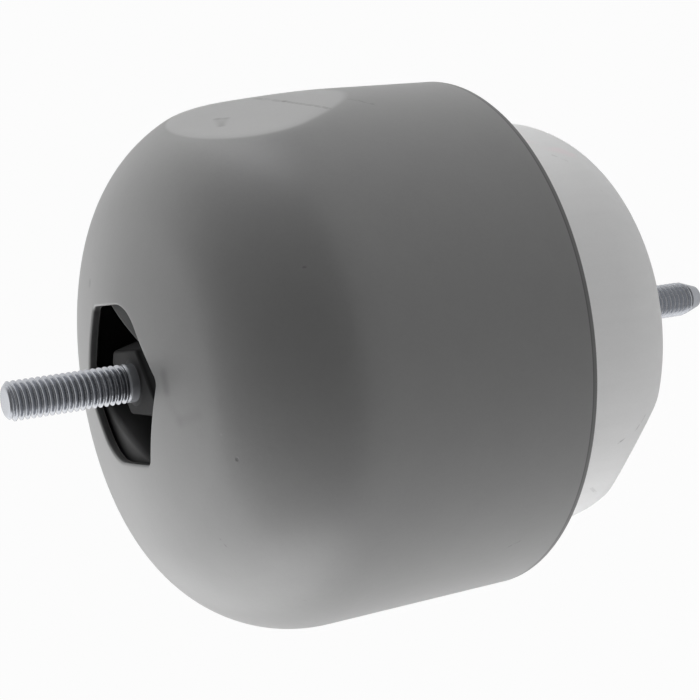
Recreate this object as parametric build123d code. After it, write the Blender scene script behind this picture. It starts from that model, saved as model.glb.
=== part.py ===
from build123d import *
import math
import os

# Engine mount for a longitudinal engine: a fluid-damped rubber cartridge
# pressed into a deep-drawn steel bell, with a threaded stud at each end.
# Millimetres. +Z runs along the studs, from the lower stud to the upper one.
# The origin is the centre of the flat seat under the lower can.
# +X runs across the window's two flats. +Y runs from one of its ridges to the other.

# Threads, the same at both ends
THREAD_DIAMETER = 8.0
UPPER_STUD_REACH = 26.4
LOWER_STUD_REACH = 31.4
RELIEF_DIAMETER = 7.1
RELIEF_LENGTH = 2.0
UPPER_TIP_CHAMFER = 0.9
LOWER_TIP_LENGTH = 4.6
LOWER_TIP_DIAMETER = 5.0
KNURL_DIAMETER = 9.6
KNURL_LENGTH = 16.0

# Dome cover: skirt, knuckle and dished crown of one sheet
COVER_SHEET = 1.8
RIM_RADIUS = 55.0
SHOULDER_RADIUS = 55.2
RIM_HEIGHT = 39.0
SKIRT_LENGTH = 43.5
COVER_KNUCKLE = 30.0
COVER_CROWN = 112.0
RIM_ROUNDING = 0.6

# Window in the crown: two flats, and two roof-shaped ends with a rounded ridge
WINDOW_ACROSS_FLATS = 32.4
WINDOW_FLAT_LENGTH = 18.6
WINDOW_END_SLOPE = 28.0
WINDOW_RIDGE_ROUNDING = 11.0
WINDOW_CORNER = 2.0
WINDOW_EDGE = 0.5

# Clearance facet pressed into the cover's shoulder
FACET_TURN = 14.0
FACET_TILT = 10.0
FACET_DEPTH = 3.5
FACET_EDGE = 5.0

# Lower can: an upside-down dished cup with a flange
CAN_SHEET = 1.5
CAN_FLANGE_WIDTH = 6.2
CAN_WALL_START = 23.1
CAN_KNUCKLE = 17.1
CAN_SEAT_RADIUS = 19.4
CAN_FLANGE_BEND = 1.5
CAN_DENT_TURN = -108.0
CAN_DENT_TILT = 40.0
CAN_DENT_DEPTH = 1.6

# Spring ring that carries the cartridge in the skirt
RING_WALL = 2.0
RING_LENGTH = 32.0
RING_SHOULDER = 2.2
LIP_INSET = 3.0
LIP_THICKNESS = 1.6
LIP_REACH = 4.2
LIP_BEND = 1.2
STACK_CLEARANCE = 0.1

# Stack held between the lip and the ring's shoulder
BELLOWS_RIM = 2.2
BELLOWS_RING_THICKNESS = 1.0
BELLOWS_RING_WIDTH = 4.0
LOWER_PLATE = 3.5
UPPER_PLATE = 7.5

# Inertia track, ports and decoupler
TRACK_RIM = 11.1
TRACK_WIDTH = 7.0
TRACK_DEPTH = 4.5
TRACK_SWEEP = 310.0
PORT_DIAMETER = 6.0
DECOUPLER_WALL = 7.0
DECOUPLER_THICKNESS = 2.4
DECOUPLER_PLAY = 0.3
GRID_HOLE_DIAMETER = 5.0
GRID_COUNTS = (1, 6, 12)
GRID_STEP = 8.5

# Bellows, one wall with a rolled fold
BELLOWS_WALL = 1.8
BELLOWS_GAP = 1.2
BELLOWS_FOLD_WIDTH = 20.3
BELLOWS_FOLD_HEIGHT = 27.0
BELLOWS_CROWN_HEIGHT = 38.5

# Core: lozenge-shaped seat block, cross bar and cone
SEAT_DEPTH = 4.2
SEAT_RISE = 9.8
SEAT_LENGTH = 22.0
SEAT_WIDTH = 14.4
SEAT_SLOPE = 28.0
SEAT_DRAFT = 15.0
SEAT_CORNER = 1.2
SEAT_EDGE = 0.6
BAR_WIDTH = 34.0
BAR_END_ROOM = 23.2
BAR_THICKNESS = 10.0
CONE_TOP_RADIUS = 24.0
CONE_BOTTOM_RADIUS = 13.0
CHAMBER_DEPTH = 11.7

# Rebound pads over the bar's ends
PAD_INNER_FACE = 10.8
PAD_WALL = 4.0
PAD_GAP = 0.6
PAD_SIDE = 3.0
PAD_ROUNDING = 1.5
PAD_TOP_ROUNDING = 1.0

# Main rubber spring
SPRING_SKIN = 1.6
SPRING_FOOT = 2.0
SPRING_FOOT_WIDTH = 4.0
SPRING_EDGE = 1.0
SPRING_TOP_SAG = 2.5
SPRING_BOTTOM_SAG = 3.0

# Plate that spreads the lower stud's load
BASE_PLATE_MARGIN = 3.4
BASE_PLATE_THICKNESS = 3.0
STUD_HEAD_RADIUS = 8.5
STUD_HEAD_THICKNESS = 4.0
STUD_SHANK_RADIUS = 4.8

# Radii that follow from the cover and its sheet
THREAD_RADIUS = THREAD_DIAMETER / 2
SHOULDER_HEIGHT = RIM_HEIGHT + SKIRT_LENGTH
SKIRT_LEAN = math.atan2(SHOULDER_RADIUS - RIM_RADIUS, SKIRT_LENGTH)
RING_BORE_RADIUS = min(RIM_RADIUS, SHOULDER_RADIUS) - COVER_SHEET - RING_WALL
RING_BOND_RADIUS = RING_BORE_RADIUS - RING_SHOULDER
LIP_RADIUS = RING_BORE_RADIUS - LIP_REACH
STACK_RADIUS = RING_BORE_RADIUS - STACK_CLEARANCE
SPRING_INNER_LIP = RING_BOND_RADIUS - SPRING_FOOT_WIDTH
CAN_RADIUS = RING_BORE_RADIUS - CAN_FLANGE_WIDTH
TRACK_INNER_RADIUS = STACK_RADIUS - TRACK_RIM - TRACK_WIDTH
DECOUPLER_RADIUS = TRACK_INNER_RADIUS - DECOUPLER_WALL
BELLOWS_CROWN_RADIUS = CAN_RADIUS - CAN_SHEET - BELLOWS_GAP - BELLOWS_FOLD_WIDTH
BAR_REACH = SHOULDER_RADIUS - BAR_END_ROOM
BASE_PLATE_RADIUS = CAN_SEAT_RADIUS - BASE_PLATE_MARGIN

# Centres of the cover's arcs: the knuckle square to the leaning skirt, the crown smooth with the knuckle
KNUCKLE_CENTRE_RADIUS = SHOULDER_RADIUS - COVER_KNUCKLE * math.cos(SKIRT_LEAN)
KNUCKLE_CENTRE_HEIGHT = SHOULDER_HEIGHT + COVER_KNUCKLE * math.sin(SKIRT_LEAN)
CROWN_RISE = math.sqrt((COVER_CROWN - COVER_KNUCKLE) ** 2 - KNUCKLE_CENTRE_RADIUS ** 2)
CROWN_CENTRE_HEIGHT = KNUCKLE_CENTRE_HEIGHT - CROWN_RISE
APEX_HEIGHT = CROWN_CENTRE_HEIGHT + COVER_CROWN

# Heights that follow from the stack and the crown
LIP_HEIGHT = RIM_HEIGHT + LIP_INSET
RING_TOP = LIP_HEIGHT + RING_LENGTH
FLANGE_BOTTOM = LIP_HEIGHT + LIP_THICKNESS
BELLOWS_BOTTOM = FLANGE_BOTTOM + CAN_SHEET
LOWER_PLATE_BOTTOM = BELLOWS_BOTTOM + BELLOWS_RIM
UPPER_PLATE_BOTTOM = LOWER_PLATE_BOTTOM + LOWER_PLATE
STACK_TOP = UPPER_PLATE_BOTTOM + UPPER_PLATE
CONE_BOTTOM = STACK_TOP + CHAMBER_DEPTH
SEAT_HEIGHT = APEX_HEIGHT - SEAT_DEPTH
BAR_TOP = SEAT_HEIGHT - SEAT_RISE
BAR_BOTTOM = BAR_TOP - BAR_THICKNESS
HALF_SPACE = 400.0


def revolved(*outline):
    """Turns a closed outline of (radius, height) points about the stud axis."""
    face = make_face(Polyline(*[(r, 0, z) for r, z in outline], close=True))
    return revolve(face, Axis.Z, 360)


def disc(radius, bottom, top):
    """A plain round plate between two heights."""
    height = top - bottom
    return Pos(0, 0, bottom) * Cylinder(radius, height, align=(Align.CENTER, Align.CENTER, Align.MIN))


def block(width, depth, bottom, top):
    """A rectangular block, centred on the stud axis."""
    height = top - bottom
    return Pos(0, 0, bottom) * Box(width, depth, height, align=(Align.CENTER, Align.CENTER, Align.MIN))


def facet_normal(turn, tilt):
    """Direction at a turn from +Y about the stud axis, and at a tilt up from level."""
    angle = math.radians(90 + turn)
    level = math.cos(math.radians(tilt))
    return Vector(level * math.cos(angle), level * math.sin(angle), math.sin(math.radians(tilt)))


def facet_keep(turn, tilt, distance):
    """Everything behind a plane square to the facet's normal, at a distance from the origin."""
    normal = facet_normal(turn, tilt)
    plane = Plane(origin=normal * distance, z_dir=normal)
    return plane * Box(HALF_SPACE, HALF_SPACE, HALF_SPACE, align=(Align.CENTER, Align.CENTER, Align.MAX))


def cover_radius(height, offset=0.0):
    """Radius of the skirt at a height, the offset measured inward through the sheet."""
    share = (height - RIM_HEIGHT) / SKIRT_LENGTH
    outer = RIM_RADIUS + share * (SHOULDER_RADIUS - RIM_RADIUS)
    return outer - offset / math.cos(SKIRT_LEAN)


def cover_form(offset, bottom):
    """Solid form of the cover, moved inward by the offset and cut level at the bottom."""
    radius, height = KNUCKLE_CENTRE_RADIUS, KNUCKLE_CENTRE_HEIGHT
    knuckle = COVER_KNUCKLE - offset
    crown = COVER_CROWN - offset
    slope = math.atan2(CROWN_RISE, radius)
    start = (radius + knuckle * math.cos(SKIRT_LEAN), 0, height - knuckle * math.sin(SKIRT_LEAN))
    middle = (-SKIRT_LEAN + slope) / 2
    knuckle_middle = (radius + knuckle * math.cos(middle), 0, height + knuckle * math.sin(middle))
    join = (crown * math.cos(slope), 0, CROWN_CENTRE_HEIGHT + crown * math.sin(slope))
    high = (slope + math.pi / 2) / 2
    crown_middle = (crown * math.cos(high), 0, CROWN_CENTRE_HEIGHT + crown * math.sin(high))
    apex = (0, 0, APEX_HEIGHT - offset)
    outline = [
        Line((0, 0, bottom), (cover_radius(bottom, offset), 0, bottom)),
        Line((cover_radius(bottom, offset), 0, bottom), start),
        ThreePointArc(start, knuckle_middle, join),
        ThreePointArc(join, crown_middle, apex),
        Line(apex, (0, 0, bottom)),
    ]
    return revolve(make_face(Curve() + outline), Axis.Z, 360)


def facet_distance(offset):
    """Distance of the facet's plane from the origin, for the sheet's outer or inner face."""
    tilt = math.radians(FACET_TILT)
    reach = KNUCKLE_CENTRE_RADIUS * math.cos(tilt) + KNUCKLE_CENTRE_HEIGHT * math.sin(tilt)
    return reach + COVER_KNUCKLE - FACET_DEPTH - offset


def lozenge(across_flats, flat_length, slope):
    """Six-sided outline: two flats across X, and a roof of equal slopes at each end of Y."""
    half_width = across_flats / 2
    corner = flat_length / 2
    ridge = corner + half_width * math.tan(math.radians(slope))
    return Polyline(
        (half_width, -corner), (half_width, corner), (0, ridge),
        (-half_width, corner), (-half_width, -corner), (0, -ridge), close=True)


def window_sketch():
    """The window's outline, its ridges and its corners rounded."""
    sketch = make_face(lozenge(WINDOW_ACROSS_FLATS, WINDOW_FLAT_LENGTH, WINDOW_END_SLOPE))
    ridges = sketch.vertices().filter_by(lambda vertex: abs(vertex.X) < 0.01)
    sketch = fillet(ridges, WINDOW_RIDGE_ROUNDING)
    corners = sketch.vertices().filter_by(lambda vertex: abs(vertex.X) > WINDOW_ACROSS_FLATS / 2 - 0.01)
    return fillet(corners, WINDOW_CORNER)


def dome_cover():
    """The bell: one drawn sheet with a window in the crown and a facet on the shoulder."""
    outer = cover_form(0, RIM_HEIGHT) & facet_keep(FACET_TURN, FACET_TILT, facet_distance(0))
    inner = cover_form(COVER_SHEET, RIM_HEIGHT - 1)
    inner = inner & facet_keep(FACET_TURN, FACET_TILT, facet_distance(COVER_SHEET))
    outer = fillet(outer.edges().filter_by(on_facet), FACET_EDGE)
    rim = outer.edges().group_by(Axis.Z)[0]
    outer = fillet(rim, RIM_ROUNDING)
    window = extrude(Pos(0, 0, SHOULDER_HEIGHT) * window_sketch(), amount=HALF_SPACE)
    outer -= window
    outer = fillet(outer.edges().filter_by(on_window), WINDOW_EDGE)
    return outer - inner


def along(edge):
    """Three places on an edge, off its ends."""
    return [edge.position_at(share) for share in (0.1, 0.5, 0.9)]


def on_facet(edge):
    """Whether an edge of the cover's form lies on the facet's plane."""
    normal = facet_normal(FACET_TURN, FACET_TILT)
    return all(abs(place.dot(normal) - facet_distance(0)) < 0.01 for place in along(edge))


def on_window(edge):
    """Whether an edge lies on the crown's sphere, round the window."""
    centre = Vector(0, 0, CROWN_CENTRE_HEIGHT)
    reach = WINDOW_ACROSS_FLATS
    return all(
        abs((place - centre).length - COVER_CROWN) < 0.01 and math.hypot(place.X, place.Y) < reach
        for place in along(edge))


def can_crown():
    """Centre height and radius of the can's crown, an arc tangent to the knuckle that ends at the seat."""
    centre = CAN_RADIUS - CAN_KNUCKLE
    share = CAN_WALL_START / CAN_KNUCKLE
    base = (CAN_SEAT_RADIUS ** 2 + CAN_KNUCKLE ** 2 - centre ** 2 - CAN_WALL_START ** 2) / (2 * CAN_KNUCKLE)
    square = share ** 2 - 1
    root = math.sqrt(base ** 2 * share ** 2 + square * (CAN_SEAT_RADIUS ** 2 - base ** 2))
    height = (root - base * share) / square
    return height, base + share * height


def can_form(offset, top):
    """Solid form of the can's cup, moved inward by the offset, open end at the top."""
    radius = CAN_RADIUS - offset
    knuckle = CAN_KNUCKLE - offset
    centre = CAN_RADIUS - CAN_KNUCKLE
    crown_height, outer_crown = can_crown()
    crown = outer_crown - offset
    slope = math.atan2(crown_height - CAN_WALL_START, centre)
    seat_radius = math.sqrt(crown ** 2 - (crown_height - offset) ** 2)
    seat_angle = math.acos(seat_radius / crown)
    low = (slope + seat_angle) / 2
    join = (crown * math.cos(slope), 0, crown_height - crown * math.sin(slope))
    start = (seat_radius, 0, offset)
    crown_middle = (crown * math.cos(low), 0, crown_height - crown * math.sin(low))
    knuckle_middle = (
        centre + knuckle * math.cos(slope / 2), 0, CAN_WALL_START - knuckle * math.sin(slope / 2))
    outline = [
        Line((0, 0, offset), start),
        ThreePointArc(start, crown_middle, join),
        ThreePointArc(join, knuckle_middle, (radius, 0, CAN_WALL_START)),
        Line((radius, 0, CAN_WALL_START), (radius, 0, top)),
        Line((radius, 0, top), (0, 0, top)),
        Line((0, 0, top), (0, 0, offset)),
    ]
    return revolve(make_face(Curve() + outline), Axis.Z, 360)


def can_dent_keep(offset):
    """The side of the can's shallow flattened place that stays."""
    centre = CAN_RADIUS - CAN_KNUCKLE
    tilt = math.radians(CAN_DENT_TILT)
    distance = centre * math.cos(tilt) - CAN_WALL_START * math.sin(tilt) + CAN_KNUCKLE
    return facet_keep(CAN_DENT_TURN, -CAN_DENT_TILT, distance - CAN_DENT_DEPTH - offset)


def lower_can():
    """The drawn cup with its flange, flat seat and stud hole."""
    flange_top = FLANGE_BOTTOM + CAN_SHEET
    outer = can_form(0, flange_top) & can_dent_keep(0)
    outer += disc(STACK_RADIUS, FLANGE_BOTTOM, flange_top)
    bend = outer.edges().filter_by(GeomType.CIRCLE).filter_by(
        lambda edge: abs(edge.radius - CAN_RADIUS) < 0.01 and abs(edge.center().Z - FLANGE_BOTTOM) < 0.01)
    outer = fillet(bend, CAN_FLANGE_BEND)
    inner = can_form(CAN_SHEET, flange_top + 1) & can_dent_keep(CAN_SHEET)
    return outer - inner - disc(STUD_SHANK_RADIUS, -1, CAN_SHEET + 1)


def spring_ring():
    """Sleeve pressed into the skirt, bonded to the spring, its lower lip rolled under the stack."""
    ring = revolved(
        (cover_radius(LIP_HEIGHT, COVER_SHEET), LIP_HEIGHT),
        (cover_radius(RING_TOP, COVER_SHEET), RING_TOP),
        (RING_BOND_RADIUS, RING_TOP),
        (RING_BOND_RADIUS, STACK_TOP),
        (RING_BORE_RADIUS, STACK_TOP),
        (RING_BORE_RADIUS, FLANGE_BOTTOM),
        (LIP_RADIUS, FLANGE_BOTTOM),
        (LIP_RADIUS, LIP_HEIGHT),
    )
    ring = fillet(ring.edges().group_by(Axis.Z)[0].sort_by(SortBy.LENGTH)[-1], LIP_BEND)
    return ring & facet_keep(FACET_TURN, FACET_TILT, facet_distance(COVER_SHEET))


def upper_channel_plate():
    """Upper plate: inertia track and decoupler pocket from below, an entry port and a grid of holes."""
    plate = disc(STACK_RADIUS, UPPER_PLATE_BOTTOM, STACK_TOP)
    section = Pos(TRACK_INNER_RADIUS + TRACK_WIDTH / 2, 0, UPPER_PLATE_BOTTOM + TRACK_DEPTH / 2)
    section = section * Rot(90, 0, 0) * Rectangle(TRACK_WIDTH, TRACK_DEPTH)
    plate -= revolve(section, Axis.Z, TRACK_SWEEP)
    pocket_top = UPPER_PLATE_BOTTOM + DECOUPLER_THICKNESS + DECOUPLER_PLAY
    plate -= disc(DECOUPLER_RADIUS + DECOUPLER_PLAY, UPPER_PLATE_BOTTOM, pocket_top)
    plate -= track_port(PORT_DIAMETER, UPPER_PLATE_BOTTOM, STACK_TOP, 0)
    return plate - hole_grid(pocket_top, STACK_TOP)


def track_port(diameter, bottom, top, end):
    """A round port at one end of the track: 0 for its start, 1 for its finish."""
    radius = TRACK_INNER_RADIUS + TRACK_WIDTH / 2
    inset = math.degrees(diameter / 2 / radius)
    turn = inset if end == 0 else TRACK_SWEEP - inset
    return Rot(0, 0, turn) * Pos(radius, 0, 0) * disc(diameter / 2, bottom, top)


def hole_grid(bottom, top):
    """Holes in rings, that let fluid reach one side of the decoupler."""
    holes = Part()
    for ring, count in enumerate(GRID_COUNTS):
        for turn in range(count):
            place = Rot(0, 0, 360 * turn / count) * Pos(ring * GRID_STEP, 0, 0)
            holes += place * disc(GRID_HOLE_DIAMETER / 2, bottom, top)
    return holes


def lower_channel_plate():
    """Lower plate: closes the track and the pocket, with the exit port and the same grid."""
    plate = disc(STACK_RADIUS, LOWER_PLATE_BOTTOM, UPPER_PLATE_BOTTOM)
    plate -= track_port(PORT_DIAMETER, LOWER_PLATE_BOTTOM, UPPER_PLATE_BOTTOM, 1)
    return plate - hole_grid(LOWER_PLATE_BOTTOM, UPPER_PLATE_BOTTOM)


def decoupler():
    """Loose rubber disc between the two grids."""
    return disc(DECOUPLER_RADIUS, UPPER_PLATE_BOTTOM, UPPER_PLATE_BOTTOM + DECOUPLER_THICKNESS)


def bellows():
    """Thin rubber wall: clamped rim, a fold hanging in the can, and a flat middle."""
    outside = CAN_RADIUS - CAN_SHEET - BELLOWS_GAP
    inside = outside - BELLOWS_WALL
    rim_top = LOWER_PLATE_BOTTOM
    fold = (outside - BELLOWS_CROWN_RADIUS) / 2
    fold_centre = outside - fold
    crown = BELLOWS_CROWN_HEIGHT
    low = (fold_centre, 0, BELLOWS_FOLD_HEIGHT - fold)
    low_inside = (fold_centre, 0, BELLOWS_FOLD_HEIGHT - fold + BELLOWS_WALL)
    rebate = STACK_RADIUS - BELLOWS_RING_WIDTH
    outline = [
        Polyline(
            (inside, 0, BELLOWS_FOLD_HEIGHT),
            (inside, 0, rim_top),
            (rebate, 0, rim_top),
            (rebate, 0, rim_top - BELLOWS_RING_THICKNESS),
            (STACK_RADIUS, 0, rim_top - BELLOWS_RING_THICKNESS),
            (STACK_RADIUS, 0, BELLOWS_BOTTOM),
            (outside, 0, BELLOWS_BOTTOM),
            (outside, 0, BELLOWS_FOLD_HEIGHT),
        ),
        ThreePointArc((outside, 0, BELLOWS_FOLD_HEIGHT), low, (BELLOWS_CROWN_RADIUS, 0, BELLOWS_FOLD_HEIGHT)),
        Polyline(
            (BELLOWS_CROWN_RADIUS, 0, BELLOWS_FOLD_HEIGHT),
            (BELLOWS_CROWN_RADIUS, 0, crown - BELLOWS_WALL),
            (0, 0, crown - BELLOWS_WALL),
            (0, 0, crown),
            (BELLOWS_CROWN_RADIUS + BELLOWS_WALL, 0, crown),
            (BELLOWS_CROWN_RADIUS + BELLOWS_WALL, 0, BELLOWS_FOLD_HEIGHT),
        ),
        ThreePointArc(
            (BELLOWS_CROWN_RADIUS + BELLOWS_WALL, 0, BELLOWS_FOLD_HEIGHT),
            low_inside,
            (inside, 0, BELLOWS_FOLD_HEIGHT)),
    ]
    return revolve(make_face(Curve() + outline), Axis.Z, 360)


def bellows_ring():
    """Flat steel ring in the bellows' rim, that keeps it from creeping out of the clamp."""
    inner = STACK_RADIUS - BELLOWS_RING_WIDTH
    bottom = LOWER_PLATE_BOTTOM - BELLOWS_RING_THICKNESS
    return disc(STACK_RADIUS, bottom, LOWER_PLATE_BOTTOM) - disc(inner, bottom, LOWER_PLATE_BOTTOM)


def bar_form(side, reach, bottom, top):
    """Cross bar along Y with round ends, grown by a side allowance."""
    half_width = BAR_WIDTH / 2 + side
    return block(2 * half_width, 2 * reach, bottom, top) & disc(reach, bottom, top)


def core():
    """Cast inner armature: cone in the spring, cross bar, and seat block for the bracket."""
    cone = revolved(
        (0, CONE_BOTTOM),
        (CONE_BOTTOM_RADIUS, CONE_BOTTOM),
        (CONE_TOP_RADIUS, BAR_BOTTOM),
        (0, BAR_BOTTOM),
    )
    body = cone + bar_form(0, BAR_REACH, BAR_BOTTOM, BAR_TOP) + seat_block()
    return body - disc(KNURL_DIAMETER / 2, SEAT_HEIGHT - KNURL_LENGTH, SEAT_HEIGHT)


def seat_block():
    """Lozenge-shaped block that turns the bracket true, with drafted sides and rounded edges."""
    flat_length = SEAT_WIDTH - SEAT_LENGTH * math.tan(math.radians(SEAT_SLOPE))
    outline = make_face(lozenge(SEAT_LENGTH, flat_length, SEAT_SLOPE))
    outline = fillet(outline.vertices(), SEAT_CORNER)
    seat = extrude(Pos(0, 0, SEAT_HEIGHT) * outline, amount=-SEAT_RISE, taper=-SEAT_DRAFT)
    return fillet(seat.edges().group_by(Axis.Z)[-1], SEAT_EDGE)


def stop_pad(side):
    """Rubber pad moulded over one end of the bar. It meets the crown when the engine lifts."""
    reach = BAR_REACH + PAD_WALL
    form = bar_form(PAD_SIDE, reach, BAR_BOTTOM, APEX_HEIGHT)
    form &= cover_form(COVER_SHEET + PAD_GAP, RIM_HEIGHT)
    form &= facet_keep(FACET_TURN, FACET_TILT, facet_distance(COVER_SHEET + PAD_GAP))
    near = Pos(0, side * PAD_INNER_FACE, BAR_BOTTOM)
    depth = Align.MIN if side > 0 else Align.MAX
    form &= near * Box(HALF_SPACE, HALF_SPACE, HALF_SPACE, align=(Align.CENTER, depth, Align.MIN))
    form = fillet(form.edges().filter_by(Axis.Z), PAD_ROUNDING)
    form = fillet(form.edges().filter_by(faces_block).sort_by(Axis.Z)[-1], PAD_TOP_ROUNDING)
    return form - bar_form(0, BAR_REACH, BAR_BOTTOM - 1, BAR_TOP)


def faces_block(edge):
    """Whether an edge lies in the plane of a pad's inner face, towards the seat block."""
    return all(abs(abs(place.Y) - PAD_INNER_FACE) < 0.01 for place in along(edge))


def main_spring():
    """Conical rubber between the core's cone and the ring, with a skin under the core."""
    skin_bottom = CONE_BOTTOM - SPRING_SKIN
    inner_foot = (CONE_BOTTOM_RADIUS, 0, skin_bottom)
    outer_foot = (SPRING_INNER_LIP, 0, STACK_TOP + SPRING_FOOT)
    outer_top = (RING_BOND_RADIUS, 0, RING_TOP - SPRING_EDGE)
    inner_top = (CONE_TOP_RADIUS, 0, BAR_BOTTOM)
    outline = [
        Line((0, 0, skin_bottom), inner_foot),
        sagging_arc(inner_foot, outer_foot, SPRING_BOTTOM_SAG),
        Polyline(outer_foot, (SPRING_INNER_LIP, 0, STACK_TOP), (RING_BOND_RADIUS, 0, STACK_TOP), outer_top),
        sagging_arc(outer_top, inner_top, -SPRING_TOP_SAG),
        Polyline(inner_top, (CONE_BOTTOM_RADIUS, 0, CONE_BOTTOM), (0, 0, CONE_BOTTOM), (0, 0, skin_bottom)),
    ]
    return revolve(make_face(Curve() + outline), Axis.Z, 360)


def sagging_arc(start, end, sag):
    """Arc between two outline points, its middle raised by the sag, or lowered by a negative one."""
    middle = ((start[0] + end[0]) / 2, 0, (start[2] + end[2]) / 2 + sag)
    return ThreePointArc(start, middle, end)


def upper_stud():
    """Stud pressed into the core by its knurl, with a relief under the thread."""
    return revolved(
        (0, SEAT_HEIGHT - KNURL_LENGTH),
        (KNURL_DIAMETER / 2, SEAT_HEIGHT - KNURL_LENGTH),
        (KNURL_DIAMETER / 2, SEAT_HEIGHT),
        (RELIEF_DIAMETER / 2, SEAT_HEIGHT),
        (RELIEF_DIAMETER / 2, SEAT_HEIGHT + RELIEF_LENGTH),
        (THREAD_RADIUS, SEAT_HEIGHT + RELIEF_LENGTH + (THREAD_DIAMETER - RELIEF_DIAMETER) / 2),
        (THREAD_RADIUS, SEAT_HEIGHT + UPPER_STUD_REACH - UPPER_TIP_CHAMFER),
        (THREAD_RADIUS - UPPER_TIP_CHAMFER, SEAT_HEIGHT + UPPER_STUD_REACH),
        (0, SEAT_HEIGHT + UPPER_STUD_REACH),
    )


def lower_stud():
    """Headed stud, its head on the base plate, its long point easing it into its hole."""
    head_bottom = CAN_SHEET + BASE_PLATE_THICKNESS
    return revolved(
        (0, head_bottom + STUD_HEAD_THICKNESS),
        (STUD_HEAD_RADIUS, head_bottom + STUD_HEAD_THICKNESS),
        (STUD_HEAD_RADIUS, head_bottom),
        (STUD_SHANK_RADIUS, head_bottom),
        (STUD_SHANK_RADIUS, 0),
        (THREAD_RADIUS, 0),
        (THREAD_RADIUS, LOWER_TIP_LENGTH - LOWER_STUD_REACH),
        (LOWER_TIP_DIAMETER / 2, -LOWER_STUD_REACH),
        (0, -LOWER_STUD_REACH),
    )


def base_plate():
    """Steel disc on the can's floor, that carries the lower stud's head."""
    top = CAN_SHEET + BASE_PLATE_THICKNESS
    return disc(BASE_PLATE_RADIUS, CAN_SHEET, top) - disc(STUD_SHANK_RADIUS, CAN_SHEET, top)


PIECES = {
    "dome_cover": dome_cover(),
    "upper_stud": upper_stud(),
    "core": core(),
    "stop_pad_1": stop_pad(1),
    "stop_pad_2": stop_pad(-1),
    "main_spring": main_spring(),
    "spring_ring": spring_ring(),
    "upper_channel_plate": upper_channel_plate(),
    "decoupler": decoupler(),
    "lower_channel_plate": lower_channel_plate(),
    "bellows": bellows(),
    "bellows_ring": bellows_ring(),
    "lower_can": lower_can(),
    "base_plate": base_plate(),
    "lower_stud": lower_stud(),
}

os.makedirs("parts", exist_ok=True)
for name, piece in PIECES.items():
    export_step(piece, os.path.join("parts", name + ".step"))
    box = piece.bounding_box()
    print(name, round(piece.volume), [round(v, 1) for v in (*box.min, *box.max)])
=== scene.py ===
# %% [markdown]
# # A fluid-damped engine mount
# A deep-drawn steel bell holds a rubber cartridge. The engine hangs on the upper stud,
# the lower stud goes into the subframe, and an aluminium can closes the fluid at the bottom.
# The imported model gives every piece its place. This script gives the pieces their real surface:
# the soft folds of pressed sheet, cut threads, and coated, rubbed and cast finishes.

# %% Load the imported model
import bpy
import math
import numpy as np
from mathutils import Matrix, Vector


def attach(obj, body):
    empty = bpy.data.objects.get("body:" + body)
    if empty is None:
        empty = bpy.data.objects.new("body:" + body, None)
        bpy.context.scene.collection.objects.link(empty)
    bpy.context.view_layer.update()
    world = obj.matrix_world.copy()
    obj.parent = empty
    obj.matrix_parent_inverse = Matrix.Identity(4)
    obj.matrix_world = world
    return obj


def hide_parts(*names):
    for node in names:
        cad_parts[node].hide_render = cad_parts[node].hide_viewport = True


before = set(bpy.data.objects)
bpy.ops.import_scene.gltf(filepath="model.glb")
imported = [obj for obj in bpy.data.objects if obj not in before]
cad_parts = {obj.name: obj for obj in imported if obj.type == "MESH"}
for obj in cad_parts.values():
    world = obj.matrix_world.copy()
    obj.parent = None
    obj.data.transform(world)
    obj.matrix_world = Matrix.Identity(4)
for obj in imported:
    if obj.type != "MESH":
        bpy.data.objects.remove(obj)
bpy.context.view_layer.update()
MM = 0.001
print("nodes", sorted(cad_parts))

# %% [markdown]
# ## Camera
# The mount lies on its side in the picture, with the upper stud to the left. The part keeps
# its own frame, where the studs stand upright, so the camera is rolled instead. Its place came
# from the two studs, which are equally thick: the near one looks larger by as much as the
# camera is nearer to it. A long lens, 17/7 of the picture's width, fits them both.

# %% Set the camera
CAMERA_PLACE = Vector((272.35, 166.73, 233.19)) * MM
CAMERA_AIM = Vector((0.08, -0.12, 62.88)) * MM
PICTURE_UP = Vector((-0.4557, 0.8800, -0.1337))
LENS_IN_WIDTHS = 1700 / 700


def set_camera():
    """Camera axes: back from the aim to the camera, right as up x back, both of unit length."""
    back = (CAMERA_PLACE - CAMERA_AIM).normalized()
    right = PICTURE_UP.cross(back).normalized()
    up = back.cross(right)
    turn = Matrix((right, up, back)).transposed().to_4x4()
    data = bpy.data.cameras.new("camera")
    data.sensor_width = 36.0
    data.lens = LENS_IN_WIDTHS * data.sensor_width
    data.clip_start = 0.01
    camera = bpy.data.objects.new("camera", data)
    camera.matrix_world = Matrix.Translation(CAMERA_PLACE) @ turn
    bpy.context.scene.collection.objects.link(camera)
    bpy.context.scene.camera = camera
    print("camera", round((CAMERA_PLACE - CAMERA_AIM).length / MM), "mm from the stud axis")


set_camera()
bpy.context.scene.view_settings.view_transform = "Standard"

# %% [markdown]
# ## Shader maths in plain sums
# A finish is a sum of masks: where the coating is rubbed, where a scratch runs. Written as
# nodes by hand such sums are hard to read. The class below wraps one output socket, so that a
# Python sum adds the Math nodes it stands for. Colours and vectors keep their own nodes.

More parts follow.
